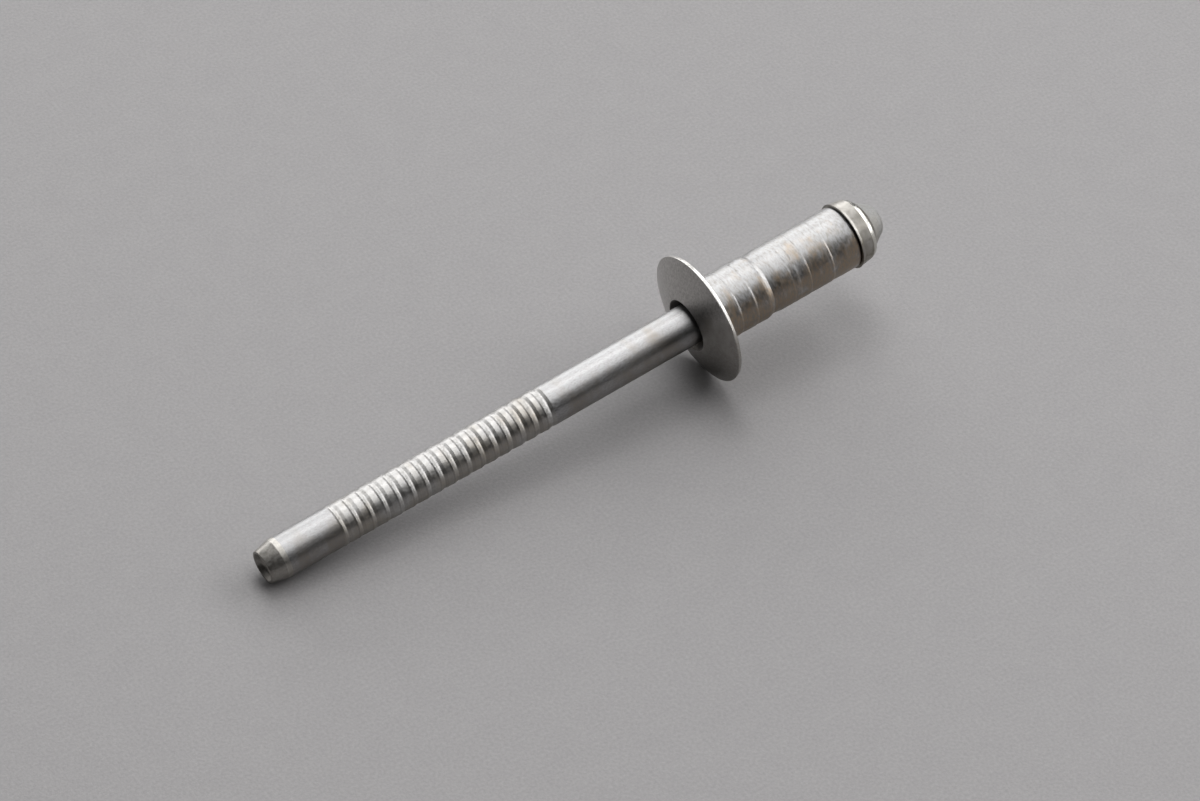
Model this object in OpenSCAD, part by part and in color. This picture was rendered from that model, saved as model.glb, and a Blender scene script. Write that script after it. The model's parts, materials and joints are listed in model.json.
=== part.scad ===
// Unset structural blind rivet: a sleeve with a domed flange, and the mandrel that pulls it up.
// Every length runs along the rivet's own axis. It starts at the flange's underside and is
// positive towards the blind end, where the mandrel's head is.

/* [Sleeve] */
// Outer diameter of the shank that goes through the work
sleeve_d = 4.8; // [4.4:0.1:5.2]
// Length of the shank, from the flange's underside to its blind end
sleeve_l = 12.4; // [10:0.1:18]
// Radius of the rounded edge at the blind end
sleeve_edge_r = 0.25; // [0.1:0.05:0.35]
// Gap all round between the sleeve's bore and the mandrel
bore_gap = 0.04; // [0.02:0.01:0.1]

/* [Flange] */
// Diameter of the flange
flange_d = 9.9; // [8.6:0.1:11]
// Height of the flange from its underside to the edge of its mouth
flange_h = 1.3; // [1:0.05:1.6]
// Height of the straight rim below the dome
rim_h = 0.32; // [0.2:0.02:0.4]
// Diameter of the mouth around the stem
mouth_d = 4.3; // [3.8:0.1:4.6]
// Depth of the mouth, down to the bore
mouth_depth = 0.9; // [0.6:0.05:1]

/* [Ring groove in the shank] */
// Distance of the groove's middle from the flange's underside
ring_at = 4.68; // [3:0.02:7]
// Radius of the round tool that cuts the groove
ring_tool_r = 0.35; // [0.25:0.05:0.45]
// Depth of the groove
ring_depth = 0.13; // [0.05:0.01:0.2]

/* [Mandrel stem] */
// Diameter of the stem
stem_d = 3.05; // [2.8:0.05:3.3]
// Length of the stem that stands out of the flange's mouth
stem_out = 35.4; // [30:0.1:42]
// Length of the tapered tail
tail_taper_l = 1.57; // [1:0.01:2.5]
// Diameter of the tail's end
tail_d = 2.44; // [2.3:0.02:2.6]
// Diameter of the hollow in the tail's end, at its mouth
hollow_d = 2.16; // [1.8:0.02:2.2]
// Diameter of the hollow at its floor
hollow_floor_d = 1.5; // [1:0.1:1.7]
// Depth of the hollow
hollow_depth = 1; // [0.6:0.1:1.4]

/* [Pull grooves] */
// Number of pull grooves
pull_count = 16; // [8:1:17]
// Distance from one pull groove to the next
pull_pitch = 1.121; // [1:0.01:1.3]
// Distance of the first pull groove's middle from the tail's end
pull_start = 6.15; // [4:0.05:8]
// Width of a pull groove across its lips
pull_w = 0.56; // [0.4:0.02:0.8]
// Width of a pull groove's floor
pull_floor_w = 0.12; // [0.06:0.02:0.2]
// Depth of a pull groove at the edges of its floor
pull_depth = 0.1; // [0.04:0.01:0.16]
// How much deeper the middle of a pull groove's floor is
floor_dip = 0.01; // [0.005:0.005:0.02]
// Depth of the shallow dip in the middle of each land between two grooves
land_dip = 0.02; // [0.01:0.005:0.04]

/* [Break neck] */
// Diameter left at the neck where the stem snaps off
neck_d = 2.1; // [1.8:0.1:2.5]
// Distance of the neck from the flange's underside
neck_at = 6.2; // [3:0.1:8]
// Half the width of the neck's notch
neck_half_w = 0.45; // [0.3:0.05:0.6]

/* [Mandrel head] */
// Diameter of the head's rim, where it bears on the sleeve
head_rim_d = 5.12; // [4.9:0.02:5.3]
// Height of the narrow bevel next to the rim
head_bevel_h = 0.2; // [0.1:0.02:0.3]
// Diameter of the head's side next to the bevel
head_d = 5; // [4.8:0.02:5.1]
// Diameter to which the side tapers, where the rounded corner starts
head_end_d = 4.68; // [4.4:0.02:4.8]
// Height of the head from the sleeve to the rounded corner
head_h = 1.25; // [1:0.05:1.6]
// Radius of the head's rounded corner
head_corner_r = 0.45; // [0.3:0.05:0.6]
// Diameter of the nub where it leaves the head
nub_d = 3.7; // [3.2:0.1:3.8]
// Diameter of the nub's blunt tip
nub_tip_d = 1.9; // [1:0.1:2.2]
// Height of the nub's cone
nub_h = 1.4; // [0.8:0.05:1.8]

/* [Hidden] */
$fn = 96;
cut = 0.5;
arc_steps = 6;
sleeve_r = sleeve_d / 2;
flange_r = flange_d / 2;
mouth_r = mouth_d / 2;
stem_r = stem_d / 2;
tail_r = tail_d / 2;
bore_r = stem_r + bore_gap;
head_rim_r = head_rim_d / 2;
head_r = head_d / 2;
head_end_r = head_end_d / 2;
nub_r = nub_d / 2;
nub_tip_r = nub_tip_d / 2;
// Places along the axis
tail_x = -flange_h - stem_out;
taper_x = tail_x + tail_taper_l;
corner_x = sleeve_l + head_h;
nub_x = corner_x + head_corner_r;
tip_x = nub_x + nub_h;
// The dome is part of a sphere that passes through the rim and the edge of the mouth
dome_x = (flange_r * flange_r - mouth_r * mouth_r + rim_h * rim_h - flange_h * flange_h)
    / (2 * (flange_h - rim_h));
dome_r = sqrt(flange_r * flange_r + pow(dome_x + rim_h, 2));
// At rest the flange's rim and the end of the plain stem touch the ground
rest_tilt = atan((flange_r - stem_r) / (-rim_h - taper_x));
rest_z = stem_r * cos(rest_tilt) - taper_x * sin(rest_tilt);
low_x = tail_x * cos(rest_tilt) - tail_r * sin(rest_tilt);
high_x = tip_x * cos(rest_tilt) + nub_tip_r * sin(rest_tilt);
rest_x = -(low_x + high_x) / 2;
// A turn about its own axis, after which the meshed rim and tail lie on a flat, not on a corner
rest_roll = 90 / 7;

// One pull groove's outline, as points of [radius, place along the axis]
function pull_groove(x) = [
    [stem_r, x - pull_w / 2],
    [stem_r - pull_depth, x - pull_floor_w / 2],
    [stem_r - pull_depth - floor_dip, x],
    [stem_r - pull_depth, x + pull_floor_w / 2],
    [stem_r, x + pull_w / 2]
];

// All the pull grooves, with a dipped land after each but the last
function pull_grooves() = [
    for (i = [0 : pull_count - 1])
        let (x = tail_x + pull_start + i * pull_pitch)
            each concat(
                pull_groove(x),
                i < pull_count - 1 ? [[stem_r - land_dip, x + pull_pitch / 2]] : []
            )
];

// A quarter round that turns from the side of a cylinder to its end
function corner(radius, x, r) = [
    for (i = [0 : arc_steps]) [
        radius - r + r * cos(90 * i / arc_steps),
        x + r * sin(90 * i / arc_steps)
    ]
];

module lie_at_rest() {
    translate([rest_x, 0, rest_z])
        rotate([0, 90 - rest_tilt, 0])
            rotate([0, 0, rest_roll])
                children();
}

module flange() {
    intersection() {
        translate([0, 0, -flange_h])
            cylinder(r = flange_r, h = flange_h);
        translate([0, 0, dome_x])
            sphere(r = dome_r);
    }
}

module shank() {
    rotate_extrude()
        polygon(concat(
            [[0, -rim_h], [sleeve_r, -rim_h]],
            corner(sleeve_r, sleeve_l - sleeve_edge_r, sleeve_edge_r),
            [[0, sleeve_l]]
        ));
}

module ring_groove() {
    translate([0, 0, ring_at])
        rotate_extrude()
            translate([sleeve_r + ring_tool_r - ring_depth, 0])
                circle(r = ring_tool_r, $fn = 32);
}

module rivet_body() {
    color([0.66, 0.65, 0.63])
        lie_at_rest()
            difference() {
                union() {
                    flange();
                    shank();
                }
                translate([0, 0, -flange_h - cut])
                    cylinder(r = bore_r, h = flange_h + sleeve_l + 2 * cut);
                translate([0, 0, -flange_h - cut])
                    cylinder(r = mouth_r, h = mouth_depth + cut);
                ring_groove();
            }
}

module hollow() {
    translate([0, 0, tail_x])
        cylinder(d1 = hollow_d, d2 = hollow_floor_d, h = hollow_depth);
}

module mandrel() {
    color([0.62, 0.61, 0.59])
        lie_at_rest()
            difference() {
                rotate_extrude()
                    polygon(concat(
                        [[0, tail_x], [tail_r, tail_x], [stem_r, taper_x]],
                        pull_grooves(),
                        [[stem_r, neck_at - neck_half_w], [neck_d / 2, neck_at], [stem_r, neck_at + neck_half_w]],
                        [[stem_r, sleeve_l], [head_rim_r, sleeve_l], [head_r, sleeve_l + head_bevel_h]],
                        corner(head_end_r, corner_x, head_corner_r),
                        [[nub_r, nub_x], [nub_tip_r, tip_x], [0, tip_x]]
                    ));
                hollow();
            }
}

rivet_body();
mandrel();
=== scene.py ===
# %% [markdown]
# # An unset blind rivet
#
# A blind rivet joins two sheets when only one side can be reached. It has two real pieces: a
# hollow sleeve with a domed flange, and a mandrel, which is a long pin through the sleeve. A
# setting tool pulls the mandrel's tail, the head on the far end swells the sleeve behind the
# sheets, and the pin then snaps off at a hidden neck. This one has not been set yet, so it lies
# on the table as it came out of the box.
#
# Both pieces are turned shapes: the same all round one axis. The plan is therefore to draw half
# of each section once and to spin it, which is also how a lathe or a rolling die makes the real
# ones.

# %% The fixed frame
import json
import math

import bpy
from mathutils import Matrix, Vector


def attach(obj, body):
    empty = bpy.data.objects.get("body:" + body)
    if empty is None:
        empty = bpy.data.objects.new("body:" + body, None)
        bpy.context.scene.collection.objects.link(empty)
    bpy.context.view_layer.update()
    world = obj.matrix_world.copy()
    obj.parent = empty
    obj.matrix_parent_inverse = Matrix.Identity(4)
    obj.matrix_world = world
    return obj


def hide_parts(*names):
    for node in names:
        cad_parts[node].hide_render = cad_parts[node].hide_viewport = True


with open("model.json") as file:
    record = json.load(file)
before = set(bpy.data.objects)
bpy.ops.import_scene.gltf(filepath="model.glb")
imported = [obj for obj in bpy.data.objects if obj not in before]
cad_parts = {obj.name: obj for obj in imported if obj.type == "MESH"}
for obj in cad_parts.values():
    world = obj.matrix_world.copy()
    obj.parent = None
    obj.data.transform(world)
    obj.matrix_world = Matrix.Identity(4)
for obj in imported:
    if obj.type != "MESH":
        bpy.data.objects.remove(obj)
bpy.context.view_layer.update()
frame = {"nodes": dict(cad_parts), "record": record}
print("frame holds", sorted(frame["nodes"]))

# %% [markdown]
# ## The rivet's own axis
#
# Measures on a turned part are easiest to read along its axis, so every length below is in
# millimetres from the flange's underside: positive towards the head, negative towards the tail.
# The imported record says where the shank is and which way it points, so the axis comes from
# there. The rivet lies on its flange rim and on the edge of its tail, which is why the axis
# rises by a few degrees.

# %% The axis, from the record
MM = 0.001
shank = next(m for m in frame["record"]["mounts"] if m["name"] == "shank")
AXIS = Vector(shank["axis"]).normalized()
SHANK_R = shank["dims"]["r_mm"]
SEAT = Vector(shank["pos_m"]) - AXIS * shank["dims"]["length_mm"] / 2 * MM
DOWN = AXIS.cross(Vector((0, 1, 0))).normalized()
TILT = math.atan2(AXIS.z, AXIS.x)


def on_section(x, r):
    """The place of a section point: x along the axis and r out from it, in millimetres."""
    return SEAT + (AXIS * x + DOWN * r) * MM


print("axis", AXIS, "rises", round(math.degrees(TILT), 2), "degrees; DOWN", DOWN)

# %% [markdown]
# ## The camera
#
# A long lens about a third of a metre away looks down at the rivet from its right-hand side.
# The camera comes early, so that everything after it can be judged in the final framing.

# %% Camera
CAMERA_AIM = Vector((2.793, 1.313, 0)) * MM
CAMERA_DISTANCE = 327.5 * MM
CAMERA_DOWN = math.radians(44.75)
CAMERA_HEADING = math.radians(55.26)

look = Vector((
    math.cos(CAMERA_DOWN) * math.cos(CAMERA_HEADING),
    math.cos(CAMERA_DOWN) * math.sin(CAMERA_HEADING),
    -math.sin(CAMERA_DOWN),
))
bpy.ops.object.camera_add(
    location=CAMERA_AIM - look * CAMERA_DISTANCE,
    rotation=look.to_track_quat("-Z", "Y").to_euler(),
)
camera = bpy.context.object
camera.data.lens = 139.1
camera.data.sensor_width = 36
camera.data.clip_start = 0.01
camera.data.clip_end = 20
bpy.context.scene.camera = camera
bpy.context.scene.view_settings.view_transform = "Standard"
print("camera at", camera.location)

# %% [markdown]
# ## Helpers for turned pieces
#
# A section is written as a short list of corners. Each corner says how far along it is, how far
# out, and how large its rounding is, just as a drawing of a turned part does. Real edges are
# never perfectly sharp, and it is their small roundings that catch the light.

# %% Rounded outlines
def rounded(corners, steps=4):
    """Points of an outline, in mm, with each corner (x, r, rounding) turned into a short arc."""
    points = []
    for i, (x, r, rounding) in enumerate(corners):
        here = Vector((x, r))
        if rounding == 0 or i == 0 or i == len(corners) - 1:
            points.append(here)
            continue
        back = Vector(corners[i - 1][:2]) - here
        ahead = Vector(corners[i + 1][:2]) - here
        half = (math.pi - back.angle(ahead)) / 2
        reach = rounding * math.tan(half)
        reach = min(reach, back.length * 0.49, ahead.length * 0.49)
        start = here + back.normalized() * reach
        end = here + ahead.normalized() * reach
        for k in range(steps + 1):
            t = k / steps
            points.append(start.lerp(here, t).lerp(here.lerp(end, t), t))
    return points


# %% Drawing the half section
def draw_section(name, points):
    """A mesh that is only the half section: one vertex, extruded from point to point."""
    bpy.ops.object.select_all(action="DESELECT")
    bpy.ops.mesh.primitive_plane_add(size=MM, location=(0, 0, 0))
    piece = bpy.context.object
    piece.name = piece.data.name = name
    bpy.ops.object.mode_set(mode="EDIT")
    bpy.ops.mesh.merge(type="CENTER")
    places = [on_section(*p) for p in points]
    bpy.ops.transform.translate(value=places[0])
    for before, after in zip(places, places[1:]):
        bpy.ops.mesh.extrude_region_move(TRANSFORM_OT_translate={"value": after - before})
    bpy.ops.object.mode_set(mode="OBJECT")
    return piece


# %% Spinning it
SPIN_STEPS = 128


def spin_section(piece, sharp_degrees):
    """Turns the half section once round the axis, closes the seam and shades it."""
    bpy.ops.object.mode_set(mode="EDIT")
    bpy.ops.mesh.select_all(action="SELECT")
    bpy.ops.mesh.spin(steps=SPIN_STEPS, angle=2 * math.pi, center=SEAT, axis=AXIS)
    bpy.ops.mesh.select_all(action="SELECT")
    bpy.ops.mesh.remove_doubles(threshold=1e-7)
    bpy.ops.mesh.normals_make_consistent(inside=False)
    bpy.ops.object.mode_set(mode="OBJECT")
    bpy.ops.object.shade_smooth_by_angle(angle=math.radians(sharp_degrees))
    piece.data.update()
    print(piece.name, "has", len(piece.data.polygons), "faces")
    return piece


# %% [markdown]
# ## The sleeve with its domed flange
#
# A press forms the flange from the same tube as the shank, so the sleeve is one piece of metal.
# The dome is close to part of a ball, and it rolls inwards where the mandrel comes out. Its rim
# is a short band with broken edges, and a small fillet leads from its flat underside into the
# shank. The shank is a hair thicker up to a ring that a tool rolled in. The turning tool also
# left a few low steps, each one a short wall that faces the head and a long rise. They are
# only hundredths of a millimetre deep, but each wall mirrors a different part of the room, so
# it shows as a fine bright line.

# %% Sleeve measures
SLEEVE_L = 12.4
FLANGE_R = 4.95
FLANGE_H = 1.3
RIM_H = 0.32
MOUTH_R = 1.98
BORE_R = 1.565
BORE_TOP = -0.7
DOME_POINTS = 16
NECK_SIDE_R = SHANK_R + 0.035
FREE_SIDE_R = SHANK_R - 0.012

dome_x = (FLANGE_R**2 - MOUTH_R**2 + RIM_H**2 - FLANGE_H**2) / (2 * (FLANGE_H - RIM_H))
dome_r = math.hypot(FLANGE_R, dome_x + RIM_H)
lip_angle = math.asin(MOUTH_R / dome_r)
rim_angle = math.asin(FLANGE_R / dome_r)
print("the dome is part of a ball of radius", round(dome_r, 2), "mm")


def dome(t):
    """A point of the dome, from the mouth's edge at t = 0 to the rim at t = 1."""
    a = lip_angle + (rim_angle - lip_angle) * t
    return dome_x - dome_r * math.cos(a), dome_r * math.sin(a)


def shank_step(place, fall, side_r, run):
    """A low step in the shank: a short wall that faces the head, then a long rise."""
    return [(place - 0.08, side_r, 0.04), (place + 0.05, side_r - fall, 0.03), (place + run, side_r, 0.3)]


# %% Sleeve section, spun into a solid
sleeve_corners = [(BORE_TOP, BORE_R, 0), (BORE_TOP - 0.02, BORE_R + 0.04, 0.02), (*dome(0), 0.14)]
sleeve_corners += [(*dome(i / DOME_POINTS), 0) for i in range(1, DOME_POINTS)]
sleeve_corners += [
    (-RIM_H - 0.04, FLANGE_R - 0.07, 0.05),
    (-RIM_H, FLANGE_R, 0.02),
    (-RIM_H + 0.07, FLANGE_R - 0.004, 0.02),
    (-RIM_H + 0.1, FLANGE_R - 0.022, 0.02),
    (-0.05, FLANGE_R - 0.07, 0.04),
    (0, FLANGE_R - 0.13, 0.03),
    (0, NECK_SIDE_R, 0.12),
]
sleeve_corners += shank_step(1.96, 0.03, NECK_SIDE_R, 0.9)
sleeve_corners += shank_step(3.29, 0.032, NECK_SIDE_R, 0.8)
sleeve_corners += [
    (4.30, NECK_SIDE_R, 0.08),
    (4.50, NECK_SIDE_R - 0.035, 0.15),
    (4.78, FREE_SIDE_R - 0.1, 0.04),
    (4.82, FREE_SIDE_R - 0.1, 0.04),
    (5.6, FREE_SIDE_R - 0.012, 0.3),
]
sleeve_corners += shank_step(6.57, 0.012, FREE_SIDE_R, 0.3)
sleeve_corners += shank_step(7.10, 0.014, FREE_SIDE_R, 0.5)
sleeve_corners += shank_step(8.00, 0.024, FREE_SIDE_R, 0.9)
sleeve_corners += shank_step(10.0, 0.034, FREE_SIDE_R, 1.1)
sleeve_corners += [
    (SLEEVE_L, FREE_SIDE_R, 0.25),
    (SLEEVE_L, BORE_R, 0),
    (BORE_TOP, BORE_R, 0),
]
sleeve = spin_section(draw_section("sleeve", rounded(sleeve_corners)), 40)
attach(sleeve, "root")
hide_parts("rivet_body")

# %% [markdown]
# ## The mandrel
#
# The mandrel starts as drawn wire. Its tail is pointed, with a short gentle shoulder, and has a
# small hollow. Its pull grooves are rolled in between two dies, and its head is upset by a blow.
# Rolling only moves the metal aside, so each groove has a low raised lip on its tail side. The
# grooves grow a little deeper towards the sleeve.

# %% Mandrel measures
STEM_R = 1.525
PLAIN_R = 1.505
TAIL_X = -36.7
TAPER_X = -35.13
TAIL_R = 1.22
SHOULDER = 0.42
HOLLOW_R = 1.06
HOLLOW_FLOOR_R = 0.5
HOLLOW_DEPTH = 0.75
GROOVES = 16
GROOVE_PITCH = 1.121
GROOVE_FIRST = TAIL_X + 6.0
GROOVES_END = GROOVE_FIRST + (GROOVES - 1) * GROOVE_PITCH + 0.5
GROOVE_DEPTH = 0.08
SHALLOW = 0.045
HEAD_RIM_R = 2.56


def pull_groove(middle, depth):
    """One groove's corners: a raised lip, a wall that grows steeper, a floor and a short rise."""
    wide = depth * 2.2 + 0.02
    return [
        (middle - wide - 0.12, STEM_R - 0.012, 0.04),
        (middle - wide, STEM_R + 0.014, 0.05),
        (middle + wide * 0.3, STEM_R - depth * 0.45, 0.1),
        (middle + wide, STEM_R - depth, 0.03),
        (middle + wide + 0.04, STEM_R - depth, 0.03),
        (middle + wide + 0.28, STEM_R - 0.016, 0.12),
    ]


# %% Mandrel section, spun into a solid
mandrel_corners = [
    (TAIL_X + HOLLOW_DEPTH, 0, 0),
    (TAIL_X + HOLLOW_DEPTH - 0.08, HOLLOW_FLOOR_R, 0.4),
    (TAIL_X + 0.34, HOLLOW_R - 0.2, 0.2),
    (TAIL_X + 0.02, HOLLOW_R, 0.04),
    (TAIL_X, (HOLLOW_R + TAIL_R) / 2, 0.05),
    (TAIL_X + 0.03, TAIL_R, 0.04),
    (TAPER_X - SHOULDER, PLAIN_R - 0.03, 0.5),
    (TAPER_X, PLAIN_R, 0.5),
]
for i in range(GROOVES):
    depth = SHALLOW + (GROOVE_DEPTH - SHALLOW) * i / (GROOVES - 1)
    mandrel_corners += pull_groove(GROOVE_FIRST + i * GROOVE_PITCH, depth)
mandrel_corners += [
    (GROOVES_END + 0.4, PLAIN_R, 0.3),
    (SLEEVE_L, PLAIN_R, 0),
    (SLEEVE_L, HEAD_RIM_R, 0.02),
    (SLEEVE_L + 0.2, 2.5, 0.1),
    (SLEEVE_L + 1.06, 2.39, 0.15),
    (SLEEVE_L + 1.38, 2.25, 0.2),
    (SLEEVE_L + 1.64, 1.92, 0.05),
    (SLEEVE_L + 1.72, 1.82, 0.3),
    (SLEEVE_L + 2.9, 1.06, 0.6),
    (SLEEVE_L + 3.1, 0, 0),
]
mandrel_pin = spin_section(draw_section("mandrel_pin", rounded(mandrel_corners)), 40)
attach(mandrel_pin, "root")
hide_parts("mandrel")

# %% [markdown]
# ## Colours and nodes
#
# Hex colours are how a paint chart gives them, so one function turns them into the linear values
# that a shader works with. Another adds a node with its settings and links, and every finish
# below is made with it.

# %% Colour and node helpers
def linear(hex_colour):
    """A colour written as sRGB hex, as the linear value that a shader needs."""
    values = [int(hex_colour[i:i + 2], 16) / 255 for i in (0, 2, 4)]
    return [v / 12.92 if v <= 0.04045 else ((v + 0.055) / 1.055) ** 2.4 for v in values] + [1]


def add_node(tree, kind, settings, **sockets):
    """Adds a node; a socket named with _ for each space is filled, or linked to an output."""
    node = tree.nodes.new(kind)
    for name, value in settings.items():
        setattr(node, name, value)
    for name, value in sockets.items():
        socket = node.inputs[int(name[3:]) if name.startswith("in_") else name.replace("_", " ")]
        if isinstance(value, bpy.types.NodeSocket):
            tree.links.new(value, socket)
        else:
            socket.default_value = value
    return node


# %% [markdown]
# ## Steel finishes
#
# Both pieces are plain carbon steel under a thin clear passivated zinc coat, which is a metal of
# a light neutral grey. What tells the zones apart is how each was made. Turning leaves rings
# round the axis, drawing leaves lines along it, a press leaves a fine even grain, and rolling
# leaves flattened patches. One recipe gives all of them, because the same three things change:
# the tone of the coat, how rough it is, and how its tiny heights run.
#
# The pattern's place is measured from the seat along the axis in millimetres, so a line that is
# 0.2 mm wide on the part is written as 0.2 here.

# %% Noise measured on the rivet
level_seat = Matrix.Rotation(TILT, 3, "Y") @ (SEAT / MM)
from_seat_mm = {"Scale": (1 / MM,) * 3, "Rotation": (0, TILT, 0), "Location": -level_seat}


def steel_noise(tree, on_axis, along, across, detail, roughness):
    """Noise that changes so many times in a millimetre along the axis and across it."""
    cycles = add_node(tree, "ShaderNodeMapping", {}, Vector=on_axis, Scale=(along, across, across))
    noise = add_node(
        tree, "ShaderNodeTexNoise", {},
        Vector=cycles.outputs[0], Scale=1, Detail=detail, Roughness=roughness,
    )
    return noise.outputs["Fac"]


print("with the axis turned level, the seat is at", [round(v, 2) for v in level_seat], "mm")

# %% [markdown]
# The coat is never even. It dries in patches, and each finish also turns a warmer and darker grey
# towards the rivet's lower side, the side turned to the camera: that grey is partly a tinted coat
# and partly painted shade. On top of that, the bottoms of the fine lines keep a darker film that
# handling never rubs off.

# %% The coat's colour
# Towards this side each finish takes its third tone: partly a tinted coat, partly painted shade.
TINTED_SHADED_SIDE = (0, -0.78, -0.62)
TINTED_SHADED_SIDE_PER_MM = 0.09


def coat_colour(tree, on_axis, lines, tones, tint_and_shade_amount, patch):
    """Mixes the dark, plain and lower-side tones, the last partly painted shade; patch is cycles per mm
    along and across.
    """
    patches = steel_noise(tree, on_axis, *patch, 3, 0.55)
    side = add_node(
        tree, "ShaderNodeVectorMath", {"operation": "DOT_PRODUCT"}, in_0=on_axis, in_1=TINTED_SHADED_SIDE
    ).outputs["Value"]
    patches_and_shaded_side = add_node(
        tree, "ShaderNodeMath", {"operation": "MULTIPLY_ADD"}, in_0=side, in_1=TINTED_SHADED_SIDE_PER_MM, in_2=patches
    ).outputs[0]
    shaded_tone_share = add_node(
        tree, "ShaderNodeMapRange", {"interpolation_type": "SMOOTHSTEP"},
        Value=patches_and_shaded_side, From_Min=0.42, From_Max=0.7, To_Max=tint_and_shade_amount,
    ).outputs[0]
    coat = add_node(
        tree, "ShaderNodeMix", {"data_type": "RGBA"},
        in_0=shaded_tone_share, in_6=linear(tones[1]), in_7=linear(tones[2]),
    ).outputs[2]
    film = add_node(
        tree, "ShaderNodeMapRange", {}, Value=lines, From_Min=0.3, From_Max=0.62, To_Min=1, To_Max=0
    ).outputs[0]
    return add_node(
        tree, "ShaderNodeMix", {"data_type": "RGBA"}, in_0=film, in_6=coat, in_7=linear(tones[0])
    ).outputs[2]


# %% [markdown]
# The same fine lines also carry the relief. A speckle with about nine dots to a millimetre is
# added to them, and the sum sets both how rough the surface is and how high it stands. Heights
# are a few thousandths of a millimetre: enough to break up a highlight, and too low to be seen
# as a shape.

# %% The fine relief
SPECKLES_PER_MM = 9
SPECKLE_SHARE = 0.35


def add_relief(tree, on_axis, lines, roughness, height):
    """Links the roughness and a low bump, in mm, to the lines and a speckle."""
    speckle = steel_noise(tree, on_axis, SPECKLES_PER_MM, SPECKLES_PER_MM, 2, 0.6)
    relief = add_node(
        tree, "ShaderNodeMath", {"operation": "MULTIPLY_ADD"}, in_0=speckle, in_1=SPECKLE_SHARE, in_2=lines
    ).outputs[0]
    rough = add_node(
        tree, "ShaderNodeMapRange", {}, Value=relief,
        From_Min=0.5, From_Max=0.85, To_Min=roughness[0], To_Max=roughness[1],
    )
    bump = add_node(tree, "ShaderNodeBump", {}, Height=relief, Distance=height * MM, Strength=1)
    shader = tree.nodes["Principled BSDF"]
    tree.links.new(rough.outputs[0], shader.inputs["Roughness"])
    tree.links.new(bump.outputs[0], shader.inputs["Normal"])


# %% The steel recipe
def steel(name, tones, roughness, grain, height, tint_and_shade_amount=0.5, patch=(0.6, 0.35)):
    """A steel finish: tones are dark, plain, lower side (partly painted shade); grain is cycles per mm
    along and across.
    """
    material = bpy.data.materials.new(name)
    material.use_nodes = True
    tree = material.node_tree
    shader = tree.nodes["Principled BSDF"]
    shader.inputs["Metallic"].default_value = 1
    place = add_node(tree, "ShaderNodeTexCoord", {}).outputs["Object"]
    on_axis = add_node(tree, "ShaderNodeMapping", {}, Vector=place, **from_seat_mm).outputs[0]
    lines = steel_noise(tree, on_axis, *grain, 5, 0.6)
    colour = coat_colour(tree, on_axis, lines, tones, tint_and_shade_amount, patch)
    tree.links.new(colour, shader.inputs["Base Color"])
    add_relief(tree, on_axis, lines, roughness, height)
    return material


# %% [markdown]
# ## Finishes of the sleeve
#
# The sleeve shows three of them. Only its shank met the turning tool, so only the shank has
# rings. The dome took the polish of the press, and the punch tore the wall of the mouth.

# %% Turned, pressed and pierced steel
# Turned steel, passivated: rings round the axis, with straw and cool tints where the coat varies;
# the straw tone is strongest on the lower side, where it is partly painted shade.
# The tool's real feed is about 0.05 mm; the rings are drawn 0.15 mm apart so that they show.
turned_shank = steel(
    "turned_steel_passivated", ("84817D", "A7A7A8", "998469"), (0.34, 0.48), (7, 2.6), 0.0025,
    tint_and_shade_amount=0.8, patch=(1.1, 0.7),
)

# Pressed steel: a fine grain with no direction makes the dome satin; its lower side is painted a
# darker grey, which is painted shade.
pressed_dome = steel(
    "pressed_steel_satin", ("A8A6A3", "CAC8C5", "8E8A84"), (0.28, 0.38), (6, 6), 0.006, 0.9
)

# Pierced steel: the punch leaves the mouth's wall dull, and its darker tones are painted shade in the
# mouth.
mouth_painted_shade = steel("pierced_steel_dull_painted_shade", ("5E5C59", "72706D", "6E685F"), (0.5, 0.62), (5, 5), 0.004)
print("sleeve finishes:", turned_shank.name, pressed_dome.name, mouth_painted_shade.name)

# %% [markdown]
# ## Finishes of the mandrel
#
# The mandrel shows seven. Six are marks that steps of its making left, from the drawn wire to
# the nub where a bar end was torn off; the bright band on the tail's shoulder is a painted highlight.

# %% Drawn and rolled steel
# Drawn wire: a close, bright surface with short faint lines along it.
drawn_stem = steel(
    "drawn_steel_bright", ("8A8887", "A1A1A2", "857B6C"), (0.33, 0.45), (4, 8), 0.005, 0.6
)

# Rolled grooves: patches that the dies pressed flat, 0.25 mm or so across, which glint one by one.
rolled_grooves = steel(
    "rolled_steel", ("979592", "AEADAC", "948A7A"), (0.32, 0.46), (4, 5), 0.007, 0.6
)
print("stem finishes:", drawn_stem.name, rolled_grooves.name)

# %% Upset, struck, cropped and torn steel
# Upset head: squeezed in a die, so it is smooth; its lower side is painted dark, which is painted shade.
upset_head = steel("upset_steel_smooth", ("918E88", "A7A49F", "686152"), (0.32, 0.38), (3, 3), 0.001, 0.9)

# Struck corner: the die rubs the head's corner bright, which gives a small sharp glint.
struck_corner = steel("struck_steel_burnished", ("B4B3AE", "C4C3BE", "BDB8AA"), (0.2, 0.28), (3, 3), 0.0006)

# Cropped tail: scuffed by the cutter, so its grain is coarser; its coat is browner in patches and
# darker on the lower side, which is painted shade.
cropped_tail = steel("cropped_steel", ("8F8C87", "A8A5A0", "82776B"), (0.34, 0.46), (5, 5), 0.008, 0.7)

# Shoulder: a band brighter than the taper is a painted highlight, and its darker lower side is painted
# shade.
shoulder_painted_highlight = steel("shoulder_steel_painted_highlight", ("A29F9A", "C0BDB7", "7A7265"), (0.33, 0.44), (4, 4), 0.005, 0.95)

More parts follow.
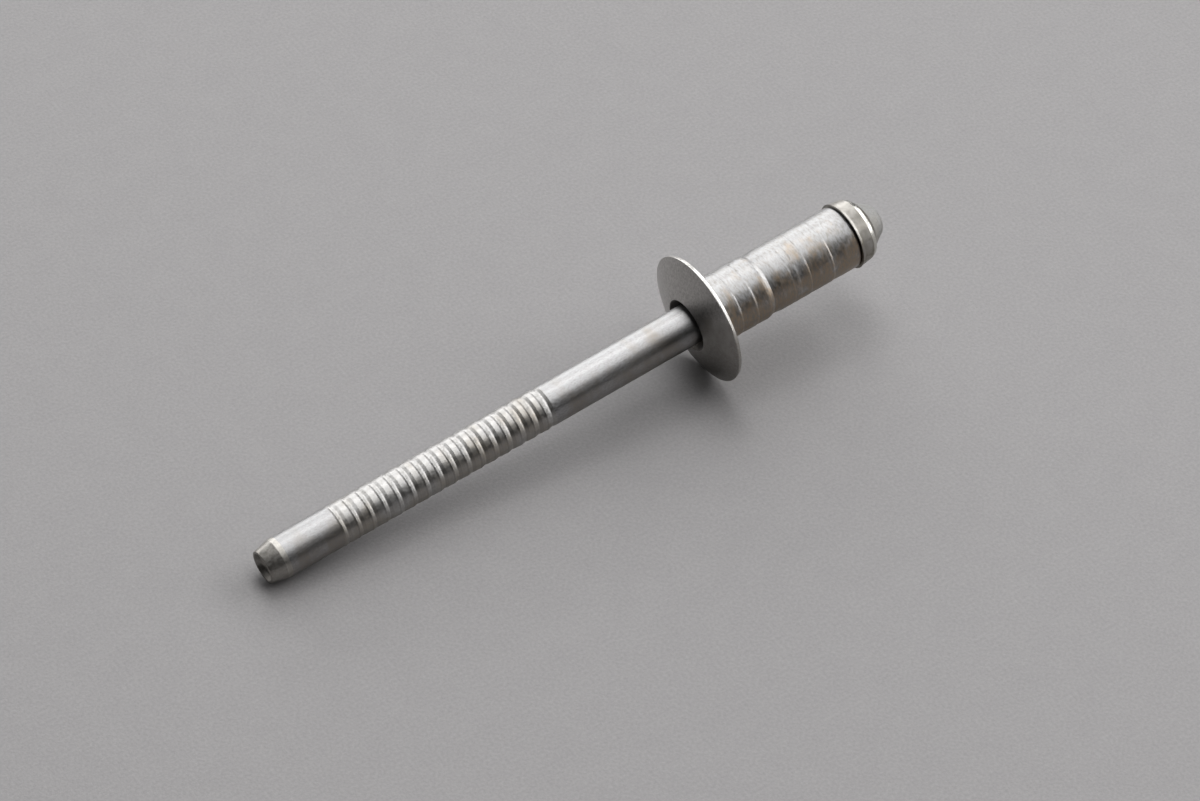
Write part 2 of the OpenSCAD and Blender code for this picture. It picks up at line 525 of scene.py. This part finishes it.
# Torn nub: the dull grain of metal that was torn off, not cut.
torn_end = steel("torn_steel_dull", ("8B8A88", "A3A3A2", "A09A90"), (0.55, 0.7), (6, 6), 0.01)
end_finishes = (upset_head, struck_corner, cropped_tail, shoulder_painted_highlight, torn_end)
print("end finishes:", *[finish.name for finish in end_finishes])

# %% [markdown]
# ## Where each finish goes
#
# A zone of a turned piece is everything between two places on its axis, so a face's finish
# follows from how far along its centre lies. A later zone covers an earlier one.

# %% Painting by zone
ANY_RADIUS = 9


def along_and_out(point):
    """How far along the axis and how far out a point is, in mm."""
    from_seat = (point - SEAT) / MM
    along = from_seat.dot(AXIS)
    return along, (from_seat - AXIS * along).length


def paint_zones(piece, base, zones):
    """Gives a turned piece its finishes; a zone is (finish, from, to, largest radius) in mm."""
    piece.data.materials.append(base)
    for finish, low, high, out in zones:
        piece.data.materials.append(finish)
        slot = len(piece.data.materials) - 1
        count = 0
        for face in piece.data.polygons:
            along, radius = along_and_out(face.center)
            if low <= along <= high and radius <= out:
                face.material_index = slot
                count += 1
        print(piece.name, finish.name, count, "faces")


# %% The zones
paint_zones(sleeve, turned_shank, [
    (pressed_dome, -2, 0.0005, ANY_RADIUS),
    (mouth_painted_shade, -2, -0.4, MOUTH_R + 0.04),
])
paint_zones(mandrel_pin, drawn_stem, [
    (cropped_tail, TAIL_X - 0.1, TAPER_X - 0.02, ANY_RADIUS),
    (shoulder_painted_highlight, TAPER_X - SHOULDER + 0.02, TAPER_X - 0.02, ANY_RADIUS),
    (rolled_grooves, GROOVE_FIRST - 0.3, GROOVES_END, ANY_RADIUS),
    (upset_head, SLEEVE_L - 0.0005, SLEEVE_L + 1.7, ANY_RADIUS),
    (struck_corner, SLEEVE_L + 1.08, SLEEVE_L + 1.44, ANY_RADIUS),
    (torn_end, SLEEVE_L + 1.7, SLEEVE_L + 4, ANY_RADIUS),
])

# %% [markdown]
# ## The table top
#
# A pale grey laminate with a very fine matt grain. It only has to carry the shadow and be
# mirrored softly in the metal, so its pattern stays faint.

# %% The table's plane
bpy.ops.object.select_all(action="DESELECT")
bpy.ops.mesh.primitive_plane_add(size=3, location=(0, 0, 0))
table = bpy.context.object
table.name = table.data.name = "table_top"
print("table top is", tuple(table.dimensions), "m")

# %% Matt laminate
# Pressed laminate: a grain of 0.25 mm under wider, fainter clouds keeps the plain grey alive.
CLOUD_SHARE = 0.25

laminate = bpy.data.materials.new("matt_laminate")
laminate.use_nodes = True
tree = laminate.node_tree
place = add_node(tree, "ShaderNodeTexCoord", {}).outputs["Object"]
grain = add_node(tree, "ShaderNodeTexNoise", {}, Vector=place, Scale=4200, Detail=3, Roughness=0.6)
cloud = add_node(tree, "ShaderNodeTexNoise", {}, Vector=place, Scale=420, Detail=3, Roughness=0.6)
both = add_node(
    tree, "ShaderNodeMath", {"operation": "MULTIPLY_ADD"},
    in_0=cloud.outputs[0], in_1=CLOUD_SHARE, in_2=grain.outputs[0],
)
tone = add_node(tree, "ShaderNodeMapRange", {}, Value=both.outputs[0], From_Min=0.38, From_Max=0.88)
colour = add_node(
    tree, "ShaderNodeMix", {"data_type": "RGBA"},
    in_0=tone.outputs[0], in_6=linear("898788"), in_7=linear("979595"),
)
bump = add_node(tree, "ShaderNodeBump", {}, Height=grain.outputs[0], Distance=0.02 * MM, Strength=1)
shader = tree.nodes["Principled BSDF"]
shader.inputs["Roughness"].default_value = 0.6
tree.links.new(colour.outputs[2], shader.inputs["Base Color"])
tree.links.new(bump.outputs[0], shader.inputs["Normal"])
table.data.materials.append(laminate)

# %% [markdown]
# ## Light
#
# Bright metal shows what is around it more than its own colour, so the light is laid out like a
# calm room. Straight ahead of the rivet's head is a wide window, overhead is a long soft panel,
# and behind the rivet stands a tall pale wall with a lower one beside it: these three make the
# broad highlight on the upper side. A low window near the head lights only the short walls that
# face it, which draws the bright lines down round the shank and the grooves. The camera's side
# of the room stays dim, and so the lower edge stays dark.

# %% Lamps
def softbox(name, heading, height, wide, tall, radiance, distance=1.0):
    """A rectangular lamp aimed at the rivet; heading and height are angles in degrees."""
    h, e = math.radians(heading), math.radians(height)
    toward = Vector((math.cos(e) * math.cos(h), math.cos(e) * math.sin(h), math.sin(e)))
    bpy.ops.object.light_add(
        type="AREA",
        location=toward * distance,
        rotation=toward.to_track_quat("Z", "Y").to_euler(),
    )
    lamp = bpy.context.object
    lamp.name = name
    lamp.data.shape = "RECTANGLE"
    lamp.data.size = wide
    lamp.data.size_y = tall
    lamp.data.energy = radiance * math.pi * wide * tall
    print(name, "gives", round(lamp.data.energy, 2), "W")


# %% Six softboxes
softbox("window", heading=2, height=35, wide=1.4, tall=0.38, radiance=4.7)
softbox("wall_panel", heading=68, height=42, wide=0.52, tall=1.0, radiance=2.4)
softbox("ceiling_panel", heading=0, height=77, wide=1.1, tall=0.40, radiance=3.2)
softbox("low_wall", heading=78, height=12, wide=1.25, tall=0.38, radiance=2.5)
softbox("low_window", heading=-25, height=9, wide=0.8, tall=0.3, radiance=3.0)
softbox("far_wall", heading=-66, height=47, wide=0.9, tall=0.4, radiance=0.3)

# %% [markdown]
# The room itself is nearly dark. It only glows a little high up behind the rivet, like a ceiling
# that catches some of the light.

# %% The room
room = bpy.data.worlds.new("calm_room")
bpy.context.scene.world = room
room.use_nodes = True
tree = room.node_tree
direction = add_node(tree, "ShaderNodeTexCoord", {}).outputs["Generated"]
bright_side = Vector((-0.15, 0.62, 0.76)).normalized()
facing = add_node(
    tree, "ShaderNodeVectorMath", {"operation": "DOT_PRODUCT"}, in_0=direction, in_1=bright_side
)
glow = add_node(
    tree, "ShaderNodeMapRange", {"interpolation_type": "SMOOTHSTEP"},
    Value=facing.outputs["Value"], From_Min=0.62, From_Max=0.92, To_Min=0.01, To_Max=0.3,
)
tree.links.new(glow.outputs[0], tree.nodes["Background"].inputs["Strength"])
tree.nodes["Background"].inputs["Color"].default_value = (1, 1, 1, 1)
print("the room is brightest towards", bright_side)
